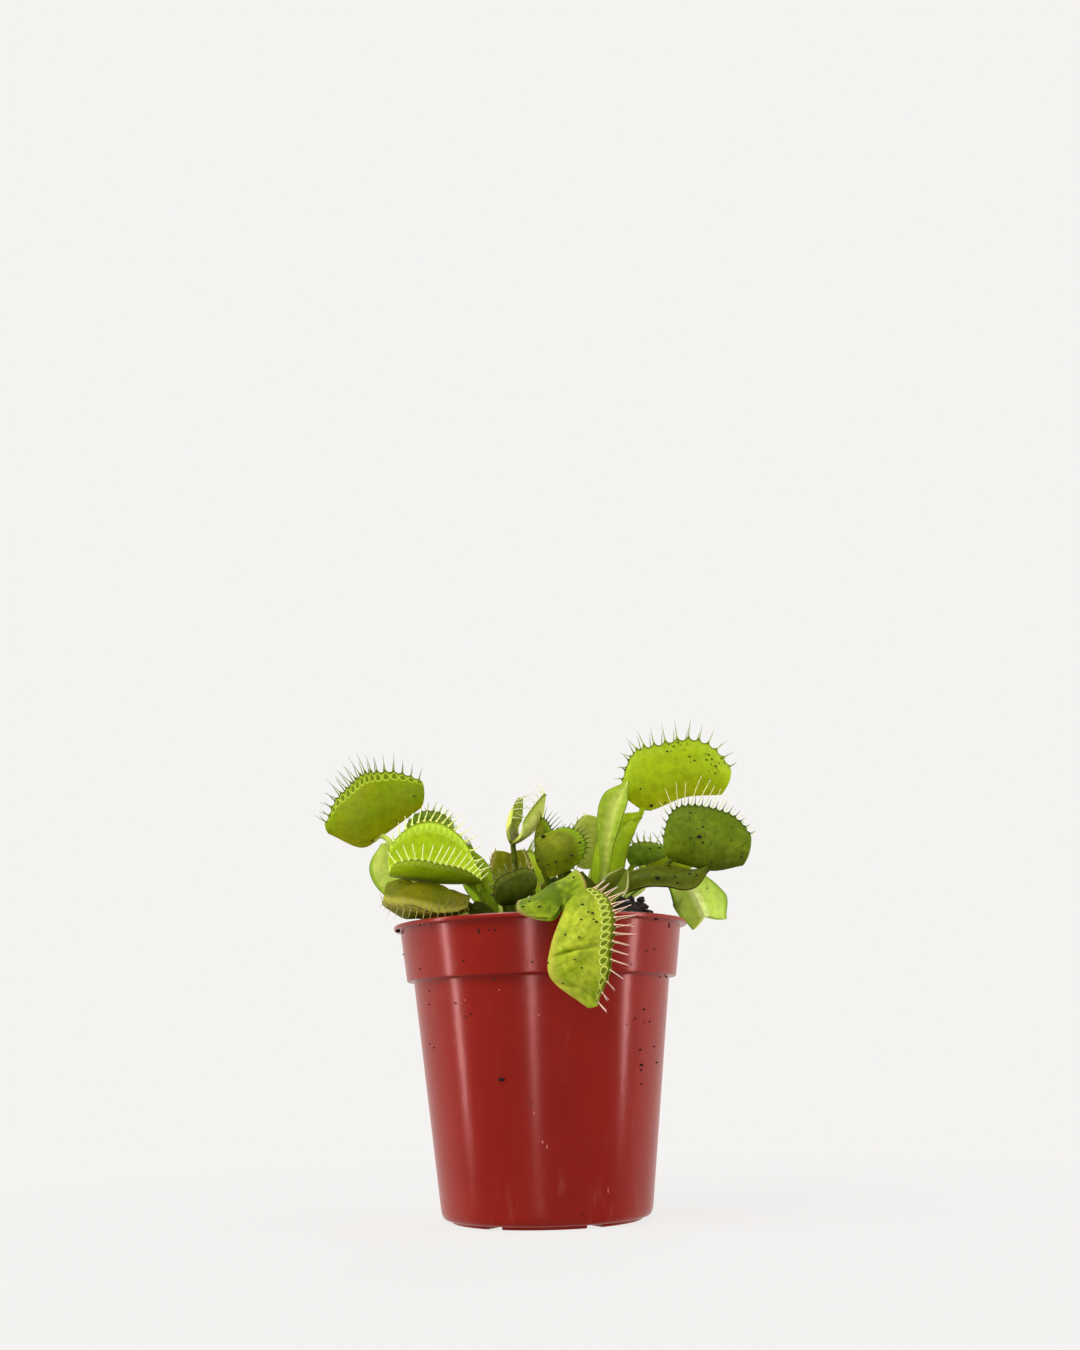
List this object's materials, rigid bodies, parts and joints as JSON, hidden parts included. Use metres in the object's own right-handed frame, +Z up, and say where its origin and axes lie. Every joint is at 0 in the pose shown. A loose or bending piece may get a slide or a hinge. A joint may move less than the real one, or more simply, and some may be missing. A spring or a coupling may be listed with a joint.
{
  "type": "potted venus flytrap",
  "caption": "Venus flytrap plant with toothed snap-trap leaves growing from short rhizomes in peat, in a round glossy nursery pot with a deep collar.",
  "frame": {"origin": "centre of the pot's foot, in the plane it stands on", "axes": "+Z up along the pot's axis, -Y towards the side that the picture shows, +X to the right of that view"},
  "size_m": [0.1286, 0.0997, 0.1448],
  "materials": {
    "pot_plastic": "glossy terracotta-red injection-moulded plastic",
    "peat": "damp near-black peat, fibrous and crumbly",
    "rhizome": "pale waxy plant tissue",
    "leaf_bright": "satin bright yellow-green leaf",
    "leaf_olive": "satin olive leaf with dark specks",
    "leaf_dark": "satin dark green leaf",
    "leaf_pale": "satin pale green leaf, light shining through"
  },
  "bodies": {
    "root": {"pot": "pot_plastic", "peat": "peat", "crown_left": "rhizome", "crown_right": "rhizome", "leaf_tall_left": "leaf_olive", "leaf_bright_left": "leaf_bright", "leaf_low_left": "leaf_olive", "leaf_young_centre": "leaf_bright", "leaf_olive_behind": "leaf_olive", "leaf_dark_centre": "leaf_dark", "leaf_small_back_left": "leaf_dark", "leaf_spotted": "leaf_olive", "leaf_pale_behind": "leaf_pale", "leaf_lens": "leaf_pale", "leaf_tall_right": "leaf_bright", "leaf_dark_right": "leaf_dark", "leaf_hanging_right": "leaf_pale", "leaf_front": "leaf_bright", "leaf_small_right": "leaf_dark", "leaf_folded_old": "leaf_olive", "leaf_back_centre": "leaf_bright", "leaf_back_right": "leaf_olive", "leaf_back_left": "leaf_bright"}
  },
  "joints": []
}
